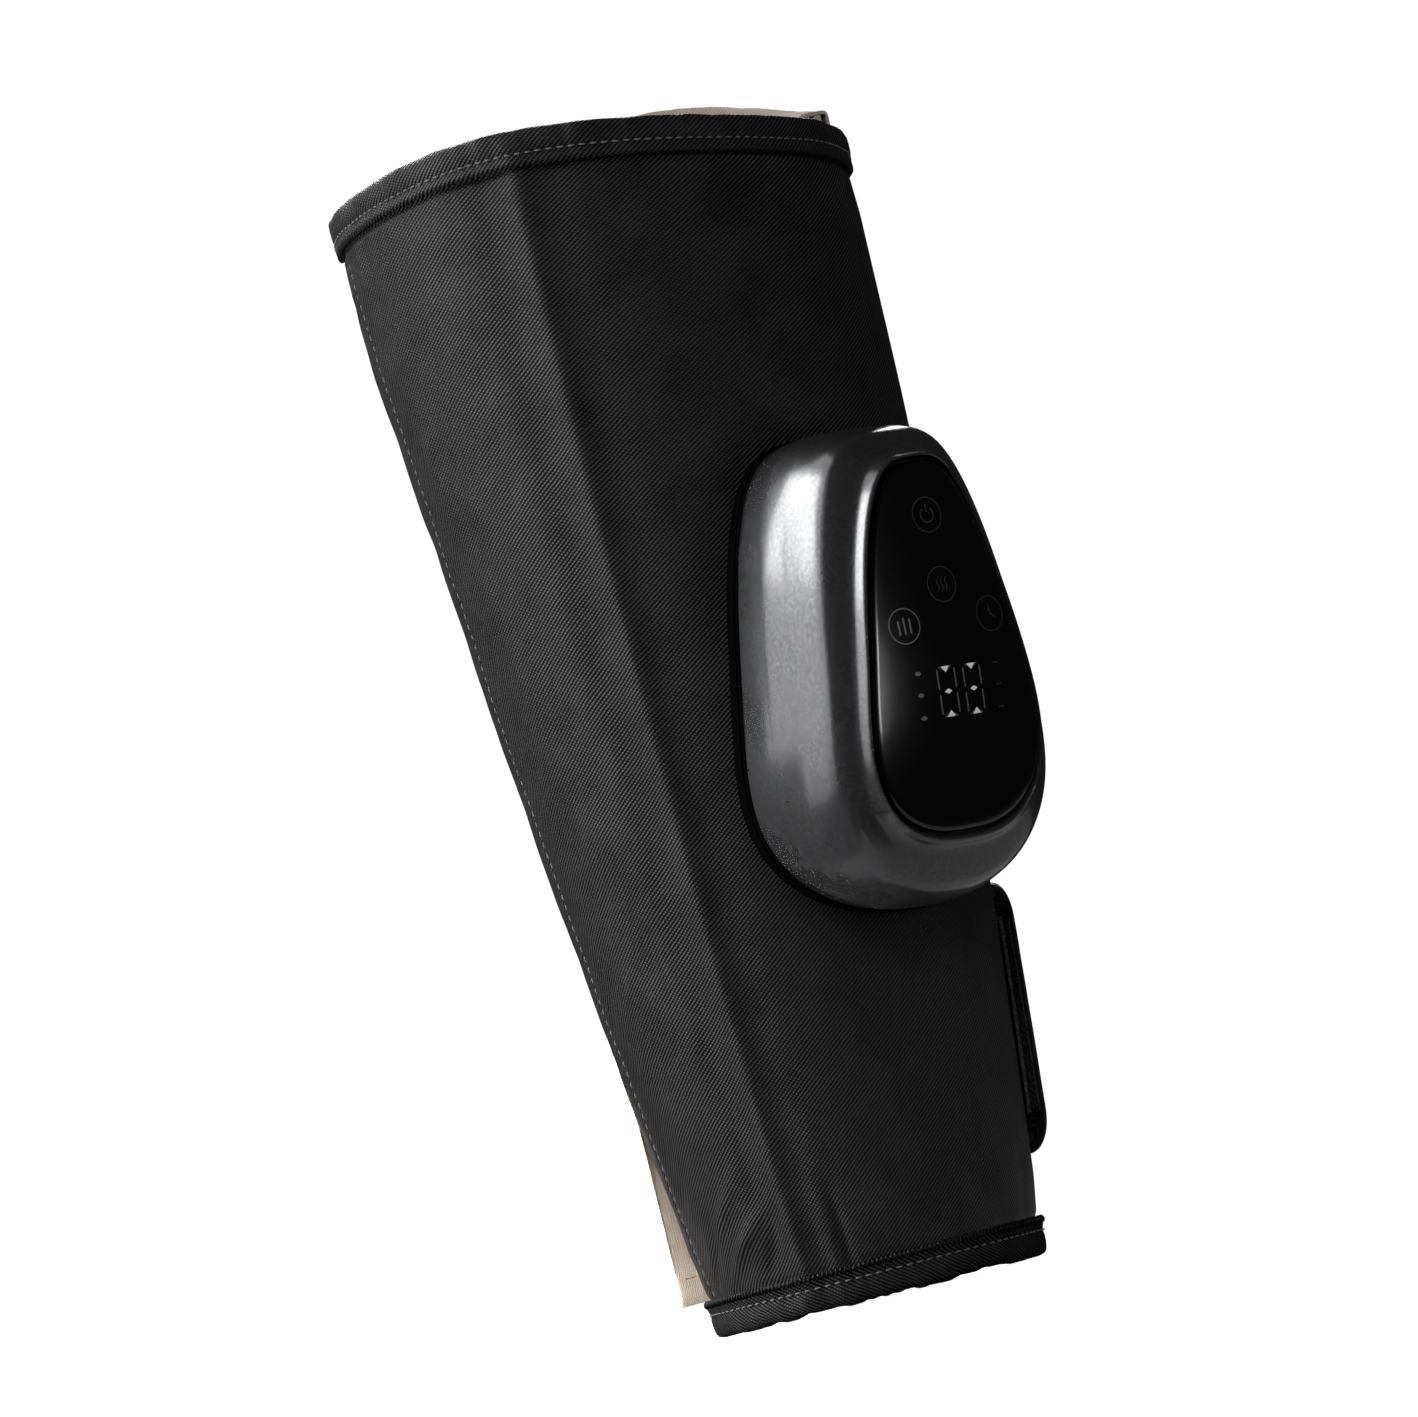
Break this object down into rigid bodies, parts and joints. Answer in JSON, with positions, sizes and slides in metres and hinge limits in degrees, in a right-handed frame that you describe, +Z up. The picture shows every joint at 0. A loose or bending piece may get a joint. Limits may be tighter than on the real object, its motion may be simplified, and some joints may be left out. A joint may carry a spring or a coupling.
{
  "type": "air compression leg massager",
  "caption": "Padded cloth wrap that closes round the calf, with air chambers, a heating layer and a glossy control pod on its shin side",
  "frame": {"origin": "on the floor plane, under the middle of the bounding box; the bottom hem rests on z = 0", "axes": "+Z runs up the leg, -Y points out of the control pod, +X is the side of the closure tab"},
  "size_m": [0.1662, 0.2014, 0.3919],
  "materials": {
    "black_cloth": "satin twill",
    "beige_cloth": "brushed knit",
    "hook_tape": "woven nylon hook and loop",
    "clear_bladder": "soft coated film",
    "heater_foil": "woven carbon heating cloth",
    "gunmetal_gloss": "high gloss gunmetal",
    "black_gloss": "high gloss",
    "black_moulding": "matte",
    "soft_black_rubber": "matte",
    "white_moulding": "matte",
    "green_board": "solder mask",
    "blue_wrap": "shrink film over metal cans",
    "motor_can": "plated",
    "bright_steel": "plain"
  },
  "bodies": {
    "wrap": {"air_manifold": "white_moulding", "air_nipple_lower": "white_moulding", "air_nipple_middle": "white_moulding", "air_nipple_upper": "white_moulding", "backing_plate": "black_moulding", "battery_pack": "blue_wrap", "charge_socket": "bright_steel", "digit_module": "white_moulding", "display_board": "green_board", "front_bottom_hem": "black_cloth", "front_casing": "gunmetal_gloss", "front_lining": "beige_cloth", "front_shell": "black_cloth", "front_top_hem": "black_cloth", "gusset_lining": "beige_cloth", "gusset_shell": "black_cloth", "left_lower_air_chamber": "clear_bladder", "left_upper_air_chamber": "clear_bladder", "loop_patch": "hook_tape", "main_board": "green_board", "panel_gasket": "soft_black_rubber", "pod_screw_1": "bright_steel", "pod_screw_2": "bright_steel", "pod_screw_3": "bright_steel", "pod_screw_4": "bright_steel", "pump_head": "black_moulding", "pump_hose": "soft_black_rubber", "pump_motor": "motor_can", "rear_casing": "gunmetal_gloss", "supply_tube": "clear_bladder", "touch_panel": "black_gloss", "valve_body_lower": "motor_can", "valve_body_upper": "motor_can"},
    "flap": {"back_shell": "black_cloth", "back_lining": "beige_cloth", "back_top_hem": "black_cloth", "back_bottom_hem": "black_cloth", "back_lower_air_chamber": "clear_bladder", "back_upper_air_chamber": "clear_bladder", "heating_film": "heater_foil", "tab_anchor": "black_cloth"},
    "tab": {"tab_strap": "black_cloth", "tab_hook_patch": "hook_tape"},
    "pump_rotor": {"pump_eccentric": "bright_steel"},
    "lower_plunger": {"valve_plunger_lower": "bright_steel"},
    "upper_plunger": {"valve_plunger_upper": "bright_steel"}
  },
  "joints": [
    {"name": "flap_hinge", "type": "hinge", "parent": "wrap", "child": "flap", "pos_m": [-0.02567, 0.06747, 0.012], "axis": [-0.0381, 0.0747, 0.9965], "range_deg": [0, 100], "stiffness_Nm_per_rad": 0.02},
    {"name": "tab_hinge", "type": "hinge", "parent": "flap", "child": "tab", "pos_m": [0.05561, 0.01157, 0.031], "axis": [0.1114, -0.0117, 0.9937], "range_deg": [-1, 110], "stiffness_Nm_per_rad": 0.01},
    {"name": "pump_shaft", "type": "hinge", "parent": "wrap", "child": "pump_rotor", "pos_m": [0.01382, -0.06564, 0.16493], "axis": [0, -0.0958, 0.9954], "continuous": true},
    {"name": "lower_valve_stroke", "type": "slide", "parent": "wrap", "child": "lower_plunger", "axis": [0, -0.0958, 0.9954], "range_m": [0, 0.0014], "stiffness_N_per_m": 60},
    {"name": "upper_valve_stroke", "type": "slide", "parent": "wrap", "child": "upper_plunger", "axis": [0, -0.0958, 0.9954], "range_m": [0, 0.0014], "stiffness_N_per_m": 60}
  ]
}
